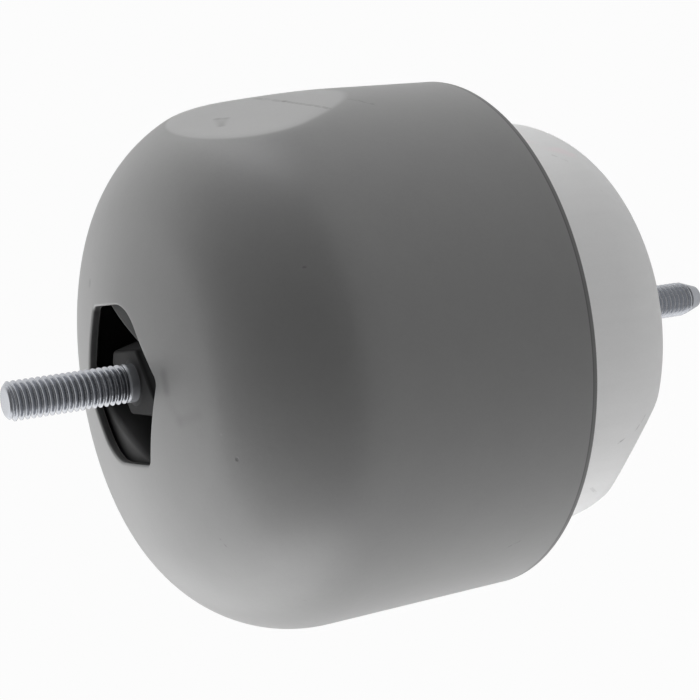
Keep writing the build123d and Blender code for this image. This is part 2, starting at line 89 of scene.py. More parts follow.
# %% Wrap sockets
class Value:
    """One socket. a + b, a - b and a * b each add one Math node."""

    def __init__(self, tree, socket):
        self.tree = tree
        self.socket = socket

    def _sum(self, operation, *terms):
        return self.tree.node("Math", {"operation": operation}, dict(enumerate(terms)))

    def __add__(self, other):
        return self._sum("ADD", self, other)

    def __radd__(self, other):
        return self._sum("ADD", other, self)

    def __sub__(self, other):
        return self._sum("SUBTRACT", self, other)

    def __rsub__(self, other):
        return self._sum("SUBTRACT", other, self)

    def __mul__(self, other):
        return self._sum("MULTIPLY", self, other)

    def __rmul__(self, other):
        return self._sum("MULTIPLY", other, self)

    def least(self, other):
        """The smaller of both."""
        return self._sum("MINIMUM", self, other)

    def most(self, other):
        """The larger of both."""
        return self._sum("MAXIMUM", self, other)


class Graph:
    """A node tree that sums can be written into."""

    def __init__(self, tree):
        self.tree = tree

    def node(self, kind, settings=None, inputs=None, output=0):
        """Adds a node: its settings first, then values or links into its sockets."""
        made = self.tree.nodes.new("ShaderNode" + kind)
        for key, value in (settings or {}).items():
            setattr(made, key, value)
        for key, value in (inputs or {}).items():
            if isinstance(value, Value):
                self.tree.links.new(value.socket, made.inputs[key])
            else:
                made.inputs[key].default_value = value
        return Value(self, made.outputs[output])

    def vector(self, operation, *terms, output=0, **named):
        """One Vector Math node."""
        inputs = dict(enumerate(terms))
        inputs.update(named)
        return self.node("VectorMath", {"operation": operation}, inputs, output)

    def step(self, value, low, high):
        """0 below low, 1 above high, smooth between; low may be the larger one."""
        return self.node("MapRange", {"interpolation_type": "SMOOTHSTEP"},
                         {"Value": value, "From Min": low, "From Max": high})


CLOUD_ROUGHNESS = 0.55
MARK_FADE = 0.5


class Finish(Graph):
    """One material. Its methods add nodes; lengths in them are millimetres."""

    def __init__(self, name):
        self.material = bpy.data.materials.new(name)
        self.material.use_nodes = True
        super().__init__(self.material.node_tree)
        self.shader = self.tree.nodes["Principled BSDF"]
        here = self.node("TexCoord", output="Object")
        self.place = self.vector("SCALE", here, Scale=1 / MM)

    def length_along(self, direction, point=(0, 0, 0)):
        """(place - point) . direction"""
        return self.vector("DOT_PRODUCT", self.vector("SUBTRACT", self.place, tuple(point)),
                           tuple(direction), output="Value")

    def noise(self, size, detail=2.0, stretch=(1, 1, 1), shift=0.0):
        """Cloud pattern from 0 to 1; size is the width of one cloud."""
        spot = self.vector("MULTIPLY_ADD", self.place, tuple(s / size for s in stretch), (shift,) * 3)
        return self.node("TexNoise", {"noise_dimensions": "3D"},
                         {"Vector": spot, "Scale": 1.0, "Detail": detail, "Roughness": CLOUD_ROUGHNESS})

    def distance(self, point):
        """Distance to a point."""
        return self.vector("DISTANCE", self.place, tuple(point), output="Value")

    def line(self, start, end, width, fade=MARK_FADE):
        """1 on the segment start to end, 0 a width away: distance to the point
        start + h (end - start), with h = (place - start).(end - start) / |end - start|^2 kept in 0..1."""
        start, end = np.array(start, float), np.array(end, float)
        along = end - start
        share = self.length_along(along / (along @ along), start).most(0.0).least(1.0)
        foot = self.vector("MULTIPLY_ADD", self.node("CombineXYZ", None, {0: share, 1: share, 2: share}),
                           tuple(along), tuple(start))
        gap = self.vector("DISTANCE", self.place, foot, output="Value")
        return self.step(gap, width, width * fade)

    def bump(self, height):
        """Feeds Normal from a height in millimetres."""
        self.feed("Normal", self.node("Bump", None, {"Strength": 1.0, "Distance": MM, "Height": height}))

    def colour(self, red, green, blue):
        """Feeds Base Color from three sums."""
        self.feed("Base Color", self.node("CombineColor", None, {0: red, 1: green, 2: blue}))

    def feed(self, socket, value):
        """Links or sets one socket of the shader."""
        if isinstance(value, Value):
            self.tree.links.new(value.socket, self.shader.inputs[socket])
        elif isinstance(value, tuple):
            self.shader.inputs[socket].default_value = (*value, 1.0)
        else:
            self.shader.inputs[socket].default_value = value


def wear(obj, finish):
    """Gives an object one finish."""
    obj.data.materials.clear()
    obj.data.materials.append(finish.material)
    print(obj.name, "wears", finish.material.name)


# %% [markdown]
# ## Surfaces from arrays
# Drawn sheet, turned steel and moulded rubber are all surfaces that a profile leaves behind
# as it goes round the stud axis. So a piece here is one array of points, rows along the
# profile and columns round the axis, worked out at once and handed to the mesh.

# %% Turn arrays into meshes
def make_surface(name, points, ring=False, first_pole=None, last_pole=None):
    """points is (rows, columns, 3) in mm; columns close up, rows too where ring is set.
    A pole is a height on the axis that closes the first or last row with a fan."""
    rows, columns = points.shape[:2]
    flat = points.reshape(-1, 3)
    index = np.arange(rows * columns).reshape(rows, columns)
    upper = np.roll(index, -1, 0) if ring else index[1:]
    lower = index if ring else index[:-1]
    quads = np.stack([lower, np.roll(lower, -1, 1), np.roll(upper, -1, 1), upper], -1).reshape(-1, 4)
    fans = []
    for pole, row, turned in ((first_pole, index[0], True), (last_pole, index[-1], False)):
        if pole is not None:
            tip = len(flat)
            flat = np.vstack([flat, [0.0, 0.0, pole]])
            pair = (np.roll(row, -1), row) if turned else (row, np.roll(row, -1))
            fans.append(np.stack([*pair, np.full(columns, tip)], -1))
    sides = np.concatenate([quads.ravel()] + [fan.ravel() for fan in fans]).astype(np.int32)
    counts = np.concatenate([np.full(len(quads), 4)] + [np.full(len(fan), 3) for fan in fans])
    starts = np.concatenate([[0], np.cumsum(counts)[:-1]]).astype(np.int32)
    mesh = bpy.data.meshes.new(name)
    mesh.vertices.add(len(flat))
    mesh.vertices.foreach_set("co", (flat * MM).astype(np.float32).ravel())
    mesh.loops.add(len(sides))
    mesh.loops.foreach_set("vertex_index", sides)
    mesh.polygons.add(len(counts))
    mesh.polygons.foreach_set("loop_start", starts)
    mesh.polygons.foreach_set("use_smooth", np.ones(len(counts), bool))
    mesh.update(calc_edges=True)
    mesh.validate()
    a, b, c = (flat[quads[:, i]] for i in (0, 1, 2))
    d = flat[quads[:, 3]]
    volume = (np.einsum("ij,ij->i", a, np.cross(b, c)) + np.einsum("ij,ij->i", a, np.cross(c, d))).sum() / 6
    if volume < 0:
        mesh.flip_normals()
    piece = bpy.data.objects.new(name, mesh)
    bpy.context.scene.collection.objects.link(piece)
    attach(piece, "root")
    print(name, "triangles", int((counts - 2).sum()), "volume", round(abs(volume)), "mm3")
    return piece


def circle_angles(columns):
    """Angles round the axis, evenly spaced, the last one short of a full turn."""
    return np.arange(columns) * 2 * np.pi / columns


def turned_points(profile, columns):
    """(r cos a, r sin a, z) for each profile point (r, z) and angle a."""
    angle = circle_angles(columns)
    radius, height = np.asarray(profile, float).T
    return np.stack([np.outer(radius, np.cos(angle)), np.outer(radius, np.sin(angle)),
                     np.outer(height, np.ones(columns))], -1)


def arc(centre, radius, start, end, count):
    """Points centre + radius (cos t, sin t), t from start to end."""
    t = np.linspace(start, end, count)
    return np.stack([centre[0] + radius * np.cos(t), centre[1] + radius * np.sin(t)], -1)


def run(start, end, count):
    """Points spaced evenly on a straight line, without its first point."""
    share = np.linspace(0, 1, count + 1)[1:, None]
    return np.asarray(start) + share * (np.asarray(end) - np.asarray(start))


# %% [markdown]
# ## A flattened place in drawn sheet
# The bell's shoulder was pressed flat on one side to clear its neighbour, and the can has a
# small dent. Sheet doesn't fold sharply: it leaves its form gently and meets the flat with a
# soft shoulder. So each point that stands beyond the flat's plane is pushed back onto it, and
# points near the plane are pushed a little, by a square law that joins both parts smoothly.

# %% Press a flat
def flat_normal(turn, tilt):
    """Unit vector at a turn from +Y about the stud axis, tilted up from level."""
    turn, tilt = math.radians(90 + turn), math.radians(tilt)
    return np.array([math.cos(tilt) * math.cos(turn), math.cos(tilt) * math.sin(turn), math.sin(tilt)])


def press_flat(points, normal, distance, softness):
    """With d = p.normal - distance, p moves back by 0 below -softness, by d above +softness,
    and by (d + softness)^2 / (4 softness) between."""
    beyond = points @ normal - distance
    back = np.where(beyond > softness, beyond, np.clip(beyond + softness, 0, None) ** 2 / (4 * softness))
    return points - back[..., None] * normal


# %% [markdown]
# ## The bell
# One blank of 1.8 mm steel, drawn in several strokes: a skirt, a round shoulder, and a dished
# crown. The window for the engine bracket is punched last, so its edge is rolled over on the
# outside and sharp within. The whole sheet is one closed ring of rows: up the inside of the
# crown, through the window's edge, down the outside, round the rim and back up the skirt.

# %% Shape of the bell
SHEET = 1.8
RIM_RADIUS, RIM_HEIGHT = 55.0, 39.0
SHOULDER_RADIUS, SKIRT_LENGTH = 55.2, 43.5
KNUCKLE, CROWN = 30.0, 112.0
WINDOW_HALF_WIDTH, WINDOW_HALF_FLAT, WINDOW_SLOPE = 16.2, 9.3, math.radians(28.0)
WINDOW_RIDGE, WINDOW_CORNER, WINDOW_ROLL = 11.0, 2.0, 0.6
INNER_ROLL, RIM_ROLL, RIM_TURN_DEPTH = 0.25, 0.5, 0.3
FACET_TURN, FACET_TILT, FACET_DEPTH, FACET_SOFTNESS = 14.0, 10.0, 3.5, 0.8
BELL_COLUMNS, FINE_ANGLES = 440, 3601
CROWN_ROWS, KNUCKLE_ROWS, SKIRT_ROWS, EDGE_ROWS, RIM_ROWS = 25, 44, 34, 7, 5
INNER_CROWN_ROWS, INNER_KNUCKLE_ROWS, INNER_SKIRT_ROWS, INNER_EDGE_ROWS = 12, 16, 14, 4
CORNER_CROWDING, CORNER_SPREAD = 3.0, 0.06

lean = math.atan2(SHOULDER_RADIUS - RIM_RADIUS, SKIRT_LENGTH)
knuckle_centre = (SHOULDER_RADIUS - KNUCKLE * math.cos(lean),
                  RIM_HEIGHT + SKIRT_LENGTH + KNUCKLE * math.sin(lean))
crown_centre = knuckle_centre[1] - math.sqrt((CROWN - KNUCKLE) ** 2 - knuckle_centre[0] ** 2)
join_slope = math.atan2(knuckle_centre[1] - crown_centre, knuckle_centre[0])


def column_angles(columns):
    """Angles set closer where the window's corners are: the inverse of the running sum of the
    density 1 + crowding exp(-((angle - corner) / spread)^2)."""
    fine = np.linspace(0, 2 * np.pi, FINE_ANGLES)
    corner = math.atan2(WINDOW_HALF_FLAT, WINDOW_HALF_WIDTH)
    density = np.ones_like(fine)
    for place in (corner, np.pi - corner, np.pi + corner, 2 * np.pi - corner):
        density += CORNER_CROWDING * np.exp(-((fine - place) / CORNER_SPREAD) ** 2)
    total = np.concatenate([[0], np.cumsum((density[1:] + density[:-1]) / 2)])
    return np.interp(np.arange(columns) / columns, total / total[-1], fine)


def window_radius(angle):
    """Polar radius of the window: the flat x = w, the roof line y = ridge - x tan s, the circle
    that rounds the ridge, and at each corner a small circle round K, where
    r = u.K + sqrt((u.K)^2 - K.K + radius^2)."""
    across, up = np.abs(np.cos(angle)), np.abs(np.sin(angle))
    rise, lean_share = math.tan(WINDOW_SLOPE), 1 / math.cos(WINDOW_SLOPE)
    ridge = WINDOW_HALF_FLAT + WINDOW_HALF_WIDTH * rise

    def round_off(x, y, radius):
        """Where the ray meets a circle round (x, y)."""
        along = across * x + up * y
        return along + np.sqrt(np.maximum(along ** 2 - x * x - y * y + radius ** 2, 0))

    corner_x = WINDOW_HALF_WIDTH - WINDOW_CORNER
    corner_y = ridge - corner_x * rise - WINDOW_CORNER * lean_share
    ridge_y = ridge - WINDOW_RIDGE * lean_share
    slope_x, slope_y = math.sin(WINDOW_SLOPE), math.cos(WINDOW_SLOPE)
    turn = np.arctan2(up, across)
    first = math.atan2(corner_y, WINDOW_HALF_WIDTH)
    second = math.atan2(corner_y + WINDOW_CORNER * slope_y, corner_x + WINDOW_CORNER * slope_x)
    third = math.atan2(ridge_y + WINDOW_RIDGE * slope_y, WINDOW_RIDGE * slope_x)
    return np.select(
        [turn < first, turn < second, turn < third],
        [WINDOW_HALF_WIDTH / np.maximum(across, 1e-9), round_off(corner_x, corner_y, WINDOW_CORNER),
         ridge / (up + across * rise)],
        round_off(0.0, ridge_y, WINDOW_RIDGE))


def crown_height(x, y, inward):
    """Height of the crown's sphere, moved inward through the sheet."""
    return crown_centre + np.sqrt((CROWN - inward) ** 2 - x ** 2 - y ** 2)


def bell_points(columns):
    """Rows of the sheet, each with its inward depth: outside 0, inside the sheet's thickness.
    A crown row lies at a share of the way from the window's edge to the join with the knuckle."""
    angle = column_angles(columns)
    u = np.stack([np.cos(angle), np.sin(angle)], -1)
    edge = window_radius(angle)[:, None] * u
    tangent = np.roll(edge, -1, 0) - np.roll(edge, 1, 0)
    outward = np.stack([tangent[:, 1], -tangent[:, 0]], -1)
    outward /= np.linalg.norm(outward, axis=1)[:, None]
    rows, depths = [], []

    def add(xy, z, inward):
        """One row, from its plan and its height."""
        rows.append(np.concatenate([xy, np.broadcast_to(z, (columns,))[:, None]], -1))
        depths.append(inward)

    def crown_rows(shares, inward, start):
        """Rows on the crown's sphere."""
        join = (CROWN - inward) * math.cos(join_slope)
        for share in shares:
            xy = start + share * (join * u - start)
            add(xy, crown_height(xy[:, 0], xy[:, 1], inward), inward)

    def side_rows(profile, inward):
        """Level rows, one for each (radius, height)."""
        for radius, height in profile:
            add(radius * u, height, inward)

    def skirt(height, inward):
        """Radius of the slightly conical skirt."""
        outer = RIM_RADIUS + (height - RIM_HEIGHT) / SKIRT_LENGTH * (SHOULDER_RADIUS - RIM_RADIUS)
        return outer - inward / math.cos(lean)

    crown_rows(np.linspace(1, 0, INNER_CROWN_ROWS)[:-1], SHEET, edge + INNER_ROLL * outward)
    for t in np.linspace(0, np.pi / 2, INNER_EDGE_ROWS):
        xy = edge + INNER_ROLL * (1 - math.sin(t)) * outward
        add(xy, crown_height(xy[:, 0], xy[:, 1], SHEET) + INNER_ROLL * (1 - math.cos(t)), SHEET)
    wall_low = crown_height(edge[:, 0], edge[:, 1], SHEET) + INNER_ROLL
    wall_high = crown_height(edge[:, 0], edge[:, 1], 0) - WINDOW_ROLL
    for share in (0.35, 0.7):
        add(edge, wall_low + share * (wall_high - wall_low), SHEET * (1 - share))
    for t in np.linspace(np.pi / 2, 0, EDGE_ROWS):
        xy = edge + WINDOW_ROLL * (1 - math.sin(t)) * outward
        add(xy, crown_height(xy[:, 0], xy[:, 1], 0) - WINDOW_ROLL * (1 - math.cos(t)), 0)
    crown_rows(np.linspace(0, 1, CROWN_ROWS)[1:], 0, edge + WINDOW_ROLL * outward)
    side_rows(arc(knuckle_centre, KNUCKLE, join_slope, -lean, KNUCKLE_ROWS)[1:], 0)
    rim_start = RIM_HEIGHT + RIM_ROLL
    heights = np.linspace(RIM_HEIGHT + SKIRT_LENGTH, rim_start, SKIRT_ROWS)[1:]
    side_rows([(skirt(z, 0), z) for z in heights], 0)
    outer_centre = (skirt(rim_start, 0) - RIM_ROLL, rim_start)
    side_rows(arc(outer_centre, RIM_ROLL, 0, -np.pi / 2, RIM_ROWS)[1:], RIM_TURN_DEPTH)
    inner_centre = (skirt(rim_start, SHEET) + RIM_ROLL, rim_start)
    side_rows(arc(inner_centre, RIM_ROLL, -np.pi / 2, -np.pi, RIM_ROWS), SHEET - RIM_TURN_DEPTH)
    heights = np.linspace(rim_start, RIM_HEIGHT + SKIRT_LENGTH, INNER_SKIRT_ROWS)[1:]
    side_rows([(skirt(z, SHEET), z) for z in heights], SHEET)
    side_rows(arc(knuckle_centre, KNUCKLE - SHEET, -lean, join_slope, INNER_KNUCKLE_ROWS)[1:-1], SHEET)
    return np.array(rows), np.array(depths)


def facet_normal():
    """Outward direction of the facet."""
    return flat_normal(FACET_TURN, FACET_TILT)


def facet_distance():
    """The knuckle's reach along the facet's normal, less the facet's depth."""
    level, rise = math.cos(math.radians(FACET_TILT)), math.sin(math.radians(FACET_TILT))
    return knuckle_centre[0] * level + knuckle_centre[1] * rise + KNUCKLE - FACET_DEPTH


def make_bell():
    """The bell with its facet; each row's plane lies as deep under the facet as the row in the sheet."""
    points, depths = bell_points(BELL_COLUMNS)
    points = press_flat(points, facet_normal(), facet_distance() - depths[:, None], FACET_SOFTNESS)
    piece = make_surface("bell_sheet", points, ring=True)
    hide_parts("dome_cover")
    return piece


bell = make_bell()

# %% [markdown]
# ## The can
# Thin aluminium, drawn deep: a round wall, a generous knuckle, a dished bottom with a flat seat
# round the stud's hole, and a flange that the ring's lip clamps. It took a knock on one side.
# A turned profile gives the whole cup, and the flat that pressed the bell also makes the dent.

# %% Make the can
CAN_SHEET, CAN_RADIUS = 1.5, 45.0
CAN_WALL_START, CAN_KNUCKLE, CAN_SEAT_RADIUS = 23.1, 17.1, 19.4
CAN_TOP, FLANGE_RADIUS, FLANGE_BEND = 45.1, 51.1, 1.5
CAN_HOLE, CAN_LIP, CAN_COLUMNS = 4.8, 0.5, 360
OUTSIDE_ROWS, WALL_ROWS, BEND_ROWS = (10, 24, 40), 10, 6
INSIDE_ROWS, INNER_WALL_ROWS = (4, 10, 16), 5
DENT_TURN, DENT_TILT, DENT_DEPTH, DENT_SOFTNESS = -108.0, 40.0, 1.6, 0.5


def can_crown():
    """Centre height h and radius R of the dished bottom: R^2 = h^2 + seat^2, and it touches the
    knuckle, so R = base + h wall / knuckle. Both together give a square equation in h."""
    centre = CAN_RADIUS - CAN_KNUCKLE
    share = CAN_WALL_START / CAN_KNUCKLE
    base = (CAN_SEAT_RADIUS ** 2 + CAN_KNUCKLE ** 2 - centre ** 2 - CAN_WALL_START ** 2) / (2 * CAN_KNUCKLE)
    square = share ** 2 - 1
    root = math.sqrt(base ** 2 * share ** 2 + square * (CAN_SEAT_RADIUS ** 2 - base ** 2))
    height = (root - base * share) / square
    return height, base + share * height


def can_profile():
    """Outside from the hole to the flange, over it and back down the inside."""
    centre = CAN_RADIUS - CAN_KNUCKLE
    crown_centre_z, outer_crown = can_crown()
    slope = math.atan2(crown_centre_z - CAN_WALL_START, centre)
    rows, depths = [], []

    def add(profile, inward):
        """More profile points at one depth in the sheet."""
        rows.append(np.asarray(profile))
        depths.append(np.full(len(profile), inward))

    def cup(inward, up, counts):
        """Seat, dished bottom and knuckle; counts gives the points of each, up runs them outward."""
        crown, knuckle = outer_crown - inward, CAN_KNUCKLE - inward
        seat = math.sqrt(crown ** 2 - (crown_centre_z - inward) ** 2)
        seat_angle = math.acos(seat / crown)
        parts = [run((CAN_HOLE, inward), (seat, inward), counts[0])[:-1],
                 arc((0, crown_centre_z), crown, -seat_angle, -slope, counts[1]),
                 arc((centre, CAN_WALL_START), knuckle, -slope, 0, counts[2])[1:]]
        profile = np.concatenate(parts)
        add(profile if up else profile[::-1], inward)

    add([(CAN_HOLE, CAN_SHEET), (CAN_HOLE, 0.0)], 0.0)
    cup(0.0, True, OUTSIDE_ROWS)
    flange_low = CAN_TOP - CAN_SHEET
    bend_start = flange_low - FLANGE_BEND
    add(run((CAN_RADIUS, CAN_WALL_START), (CAN_RADIUS, bend_start), WALL_ROWS), 0.0)
    bend_centre = (CAN_RADIUS + FLANGE_BEND, bend_start)
    add(arc(bend_centre, FLANGE_BEND, np.pi, np.pi / 2, BEND_ROWS)[1:], 0.0)
    add([(FLANGE_RADIUS, flange_low), (FLANGE_RADIUS, CAN_TOP)], 0.0)
    inside = CAN_RADIUS - CAN_SHEET
    add([(inside + CAN_LIP, CAN_TOP), (inside, CAN_TOP - CAN_LIP)], CAN_SHEET)
    add(run((inside, CAN_TOP - CAN_LIP), (inside, CAN_WALL_START), INNER_WALL_ROWS)[:-1], CAN_SHEET)
    cup(CAN_SHEET, False, INSIDE_ROWS)
    return np.concatenate(rows), np.concatenate(depths)


def make_can():
    """The turned profile with its dent; the dent's plane starts from the knuckle's reach."""
    profile, depths = can_profile()
    centre = CAN_RADIUS - CAN_KNUCKLE
    level, drop = math.cos(math.radians(DENT_TILT)), math.sin(math.radians(DENT_TILT))
    distance = centre * level - CAN_WALL_START * drop + CAN_KNUCKLE - DENT_DEPTH
    points = press_flat(turned_points(profile, CAN_COLUMNS), flat_normal(DENT_TURN, -DENT_TILT),
                        distance - depths[:, None], DENT_SOFTNESS)
    piece = make_surface("can_cup", points, ring=True)
    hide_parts("lower_can")
    return piece


can = make_can()

# %% [markdown]
# ## The studs
# Both studs carry a coarse 8 mm thread, rolled before plating, so crests and roots are a
# little round. A thread is a surface whose radius depends on height and angle together: the
# same profile rises by one pitch in each turn. A groove swept along a helix would need to be
# cut from the shank, and leaves ragged ends. Here the depth simply fades out at both ends.

# %% Cut the threads
PITCH = 1.25
THREAD_RADIUS = 3.96
THREAD_DEPTH = 0.6134 * PITCH
CREST_SHARE, FLANK_SHARE, THREAD_FADE = 0.12, 0.62, 0.4
STUD_COLUMNS, ROWS_PER_PITCH, CHAMFER_ROWS, POINT_ROWS = 72, 16, 12, 40
SEAT_HEIGHT = 112.4
FIT_RADIUS, FIT_LENGTH = 4.8, 16.0
COLLAR_RADIUS, COLLAR_TOP = 3.9, 1.6
GROOVE_RADIUS, GROOVE_START, GROOVE_TOP = 3.5, 1.9, 2.15
CHAMFER = 0.9
HEAD_RADIUS, HEAD_LOW, HEAD_HIGH = 8.5, 4.5, 8.5
UPPER_TIP, LOWER_TIP, LOWER_POINT = 138.8, -31.4, 4.6


def thread_groove(height, angle):
    """Depth below the crest, d (0.75 s + 0.25 s^2 (3 - 2 s)). Here s runs from 0 to 1 over the flank:
    s = (q - crest) / flank, kept in 0..1, with q the distance from the crest in half pitches."""
    phase = np.abs(((height / PITCH - angle / (2 * np.pi)) % 1.0) - 0.5) * 2
    flank = np.clip((1 - phase - CREST_SHARE) / FLANK_SHARE, 0, 1)
    return THREAD_DEPTH * (0.75 * flank + 0.25 * flank * flank * (3 - 2 * flank))


def make_stud(name, node, profile, thread_low, thread_high):
    """Turned profile, cut by the groove between two heights; the cut fades in over a third of a pitch."""
    points = turned_points(profile, STUD_COLUMNS)
    radius = np.hypot(points[..., 0], points[..., 1])
    angle = np.broadcast_to(circle_angles(STUD_COLUMNS), radius.shape)
    height = points[..., 2]
    fade = np.clip((height - thread_low) / THREAD_FADE, 0, 1)
    fade = fade * np.clip((thread_high - height) / THREAD_FADE, 0, 1)
    cut = np.minimum(radius, THREAD_RADIUS - fade * thread_groove(height, angle))
    within = (height > thread_low) & (height < thread_high)
    share = np.where(within, cut, radius) / np.maximum(radius, 1e-9)
    points[..., :2] *= share[..., None]
    piece = make_surface(name, points, first_pole=profile[0][1], last_pole=profile[-1][1])
    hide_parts(node)
    return piece


def upper_stud_profile():
    """From the press fit in the core, past a short collar and a groove, to the thread and its chamfer."""
    seat, tip = SEAT_HEIGHT, UPPER_TIP
    collar, groove = seat + COLLAR_TOP, seat + GROOVE_START
    thread = np.arange(seat + 2.45, tip - CHAMFER, PITCH / ROWS_PER_PITCH)
    return np.concatenate([
        [(2.0, seat - FIT_LENGTH), (FIT_RADIUS - 0.4, seat - FIT_LENGTH),
         (FIT_RADIUS, seat - FIT_LENGTH + 0.4), (FIT_RADIUS, seat - 0.1), (FIT_RADIUS, seat),
         (COLLAR_RADIUS, seat), (COLLAR_RADIUS, seat + 0.2),
         (COLLAR_RADIUS, collar), (COLLAR_RADIUS - 0.04, seat + 1.75), (GROOVE_RADIUS, groove),
         (GROOVE_RADIUS, seat + GROOVE_TOP), (3.95, seat + 2.4)],
        np.stack([np.full(len(thread), THREAD_RADIUS), thread], -1),
        run((THREAD_RADIUS, tip - CHAMFER), (3.15, tip - 0.15), CHAMFER_ROWS),
        [(3.05, tip - 0.05), (2.9, tip), (2.2, tip), (1.4, tip), (0.6, tip)],
    ])


def lower_stud_profile():
    """From the head inside the can down to the long point."""
    point = LOWER_TIP + LOWER_POINT
    thread = np.arange(-0.4, point, -PITCH / ROWS_PER_PITCH)
    return np.concatenate([
        [(3.0, HEAD_HIGH), (HEAD_RADIUS - 0.6, HEAD_HIGH), (HEAD_RADIUS, HEAD_HIGH - 0.6),
         (HEAD_RADIUS, HEAD_LOW + 0.2), (HEAD_RADIUS - 0.1, HEAD_LOW), (FIT_RADIUS, HEAD_LOW),
         (FIT_RADIUS, 0.0), (4.0, 0.0)],
        np.stack([np.full(len(thread), THREAD_RADIUS), thread], -1),
        run((THREAD_RADIUS, point), (2.55, LOWER_TIP + 0.15), POINT_ROWS),
        [(2.4, LOWER_TIP), (1.8, LOWER_TIP), (1.0, LOWER_TIP), (0.4, LOWER_TIP)],
    ])


upper_thread_low, upper_thread_high = SEAT_HEIGHT + 2.3, UPPER_TIP - 0.1
lower_thread_low, lower_thread_high = LOWER_TIP + 0.4 * LOWER_POINT, -0.2
upper = make_stud("upper_thread", "upper_stud", upper_stud_profile(), upper_thread_low, upper_thread_high)
lower = make_stud("lower_thread", "lower_stud", lower_stud_profile(), lower_thread_low, lower_thread_high)

# %% [markdown]
# ## Finishes
# The bell wears a thin matte grey coat over steel. It is even from far and restless from near:
# faint clouds, a fine grain, and rubbed lines where other parts touched it in its box. Noise
# alone would scatter such lines evenly. So each mark is a distance in millimetres, to a short
# line or to a point, and stays at its place when the camera moves.

# %% Coat the bell
COAT_GREY = 0.34
RIM_BAND = 1.3
# Of these, the third is painted shade on the window's wall and the fourth painted light on the facet.
RIM_DARKNESS, LINE_DARKNESS, WALL_PAINTED_SHADE, FACET_PAINTED_LIGHT = 0.30, 0.22, 0.75, 0.45
WALL_LIP, WALL_REACH = 0.6, (26.0, 22.0)
COAT_SCRATCHES = (
    ((33.2, 38.4, 96.8), (35.0, 40.0, 95.2), 0.30, 0.30),
    ((35.4, 41.0, 93.6), (37.6, 41.8, 91.6), 0.22, 0.16),
    ((36.8, -14.4, 108.9), (38.6, -16.2, 107.9), 0.20, 0.38),
    ((45.3, -25.2, 95.4), (46.6, -26.2, 93.8), 0.20, 0.22),
    ((51.6, -19.4, 52.4), (51.9, -18.2, 50.2), 0.30, 0.20),
    ((-24.5, 48.4, 78.0), (-15.4, 51.0, 76.4), 0.9, 0.20),
    ((-15.4, 51.0, 76.4), (-0.1, 55.1, 74.7), 0.7, 0.26),
    ((-4.3, 55.0, 67.7), (0.2, 55.1, 64.3), 0.6, 0.20),
)
# Painted shade of dimples, creases and a small dent: each line darkens the coat where the dent is shaded,
# with a slight bump; the sheet isn't pressed in.
COAT_DIMPLE_SHADES = (
    ((18.4, 12.0, 114.4), (20.0, 9.4, 114.4), 1.9, 0.24),
    ((21.4, 7.4, 114.3), (25.2, 5.5, 113.6), 2.2, 0.05),
    ((25.2, 5.5, 113.6), (29.6, 9.2, 112.2), 1.9, 0.07),
    ((-15.4, 48.3, 91.1), (-13.8, 48.9, 89.9), 1.3, 0.17),
    ((-15.4, 48.3, 91.1), (-8.6, 49.6, 93.4), 1.3, 0.17),
    ((-13.8, 48.9, 89.9), (-8.6, 49.6, 93.4), 1.3, 0.17),
)
COAT_SPOTS = (
    ((39.8, 4.9, 108.7), 0.55, 0.36), ((-21.4, 12.1, 113.9), 1.3, 0.20), ((52.6, 14.8, 58.0), 0.45, 0.24),
    ((35.9, 8.2, 110.4), 0.35, -0.14),
)


def cover_coat():
    """Tone = clouds and grain, times 1 - marks, 1 - rim, 1 - wall and 1 + facet: scratches and spots,
    the painted shade of dimples and creases, the band at the rim with the line above it, and
    painted shade on the window's wall darken the coat, and painted light makes the facet paler."""
    finish = Finish("cover_coat")
    cloud = finish.noise(34.0, 3.0)
    mottle = finish.noise(7.0, 3.0, shift=11.0)
    grain = finish.noise(0.7, 2.0, shift=5.0)
    broken = finish.step(finish.noise(1.6, 2.0, shift=13.0), 0.30, 0.55)
    marks = 0.0
    for start, end, width, depth in COAT_SCRATCHES:
        marks = marks + depth * finish.line(start, end, width) * broken
    # Painted shade along the dimples and creases.
    for start, end, width, depth in COAT_DIMPLE_SHADES:
        marks = marks + depth * finish.line(start, end, width, 0.0) * (0.4 + mottle)
    for point, size, depth in COAT_SPOTS:
        marks = marks + depth * finish.step(finish.distance(point), size, size * 0.4)
    height = finish.length_along((0, 0, 1))
    band = RIM_HEIGHT + RIM_BAND
    line = finish.step(height, band, band - 0.1) * finish.step(height, band - 0.45, band - 0.2)
    rim = RIM_DARKNESS * finish.step(height, band, band - 0.15)
    rim = rim + LINE_DARKNESS * line
    # Painted shade: the window's wall, inside the sheet's thickness and near the axis, is darkened; less so
    # at its inner lip.
    into_sheet = CROWN - finish.distance((0, 0, crown_centre))
    axis_gap = finish.vector("LENGTH", finish.vector("MULTIPLY", finish.place, (1, 1, 0)), output="Value")
    wall = finish.step(into_sheet, 0.15, 0.5)
    wall = wall - WALL_LIP * finish.step(into_sheet, SHEET - 0.4, SHEET - 0.15)
    wall = wall * finish.step(axis_gap, *WALL_REACH)
    # Painted light: the facet's coat is made 1.45 times as pale, standing in for light falling on the flat.
    beyond_facet = finish.length_along(facet_normal()) - facet_distance()
    facet = finish.step(beyond_facet, -0.35, -0.1)
    tone = (0.88 + 0.10 * cloud + 0.06 * mottle + 0.05 * grain) * (1.0 - marks)
    tone = tone * (1.0 - rim) * (1.0 - WALL_PAINTED_SHADE * wall) * (1.0 + FACET_PAINTED_LIGHT * facet)
    grey = COAT_GREY * tone
    finish.colour(grey, grey, grey)
    finish.feed("Metallic", 0.1)
    finish.feed("Roughness", 0.28 + 0.10 * cloud + 0.10 * marks)
    finish.bump(0.012 * grain + 0.03 * finish.noise(4.0, 2.0, shift=9.0) - 0.10 * marks)
    return finish


coat = cover_coat()
wear(bell, coat)
